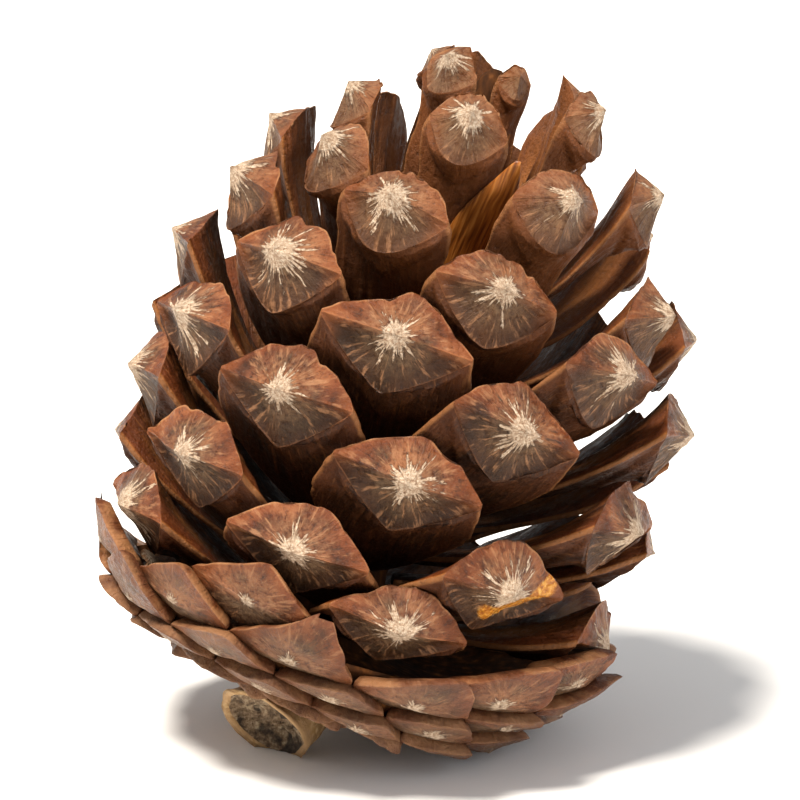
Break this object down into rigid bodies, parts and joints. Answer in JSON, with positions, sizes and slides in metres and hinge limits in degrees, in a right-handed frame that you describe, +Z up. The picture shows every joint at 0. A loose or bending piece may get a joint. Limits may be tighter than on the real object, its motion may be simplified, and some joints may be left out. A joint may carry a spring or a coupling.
{
  "type": "open pine cone",
  "caption": "Dry open conifer cone with a spiral of woody scales round an axis, leaning on its broken stalk and basal scales.",
  "frame": {"origin": "middle of the bounding box at the height the cone rests on", "axes": "+Z up, -Y the side the picture shows, +X to its right; the cone's own axis leans 18 degrees, to the right and a little back"},
  "size_m": [0.0596, 0.054, 0.0704],
  "materials": {
    "core": "rough grey-brown basal scales and woody axis, dry and matt",
    "scale": "red-brown woody scales with a faint sheen and pale resin stars on the end faces"
  },
  "bodies": {
    "root": {"core": "core", "scale_35": "scale", "scale_36": "scale", "scale_37": "scale", "scale_38": "scale", "scale_39": "scale", "scale_40": "scale", "scale_41": "scale", "scale_42": "scale", "scale_43": "scale", "scale_44": "scale", "scale_45": "scale", "scale_46": "scale", "scale_47": "scale", "scale_48": "scale", "scale_49": "scale", "scale_50": "scale", "scale_51": "scale", "scale_52": "scale", "scale_53": "scale", "scale_54": "scale", "scale_55": "scale", "scale_56": "scale", "scale_57": "scale", "scale_58": "scale", "scale_59": "scale", "scale_60": "scale", "scale_61": "scale", "scale_62": "scale", "scale_63": "scale", "scale_64": "scale", "scale_65": "scale", "scale_66": "scale", "scale_67": "scale", "scale_68": "scale", "scale_69": "scale", "scale_70": "scale", "scale_71": "scale", "scale_72": "scale", "scale_73": "scale", "scale_74": "scale", "scale_75": "scale", "scale_76": "scale", "scale_77": "scale", "scale_78": "scale", "scale_79": "scale", "scale_80": "scale", "scale_81": "scale", "scale_82": "scale", "scale_83": "scale", "scale_84": "scale", "scale_85": "scale", "scale_86": "scale", "scale_87": "scale", "scale_88": "scale"}
  },
  "joints": []
}
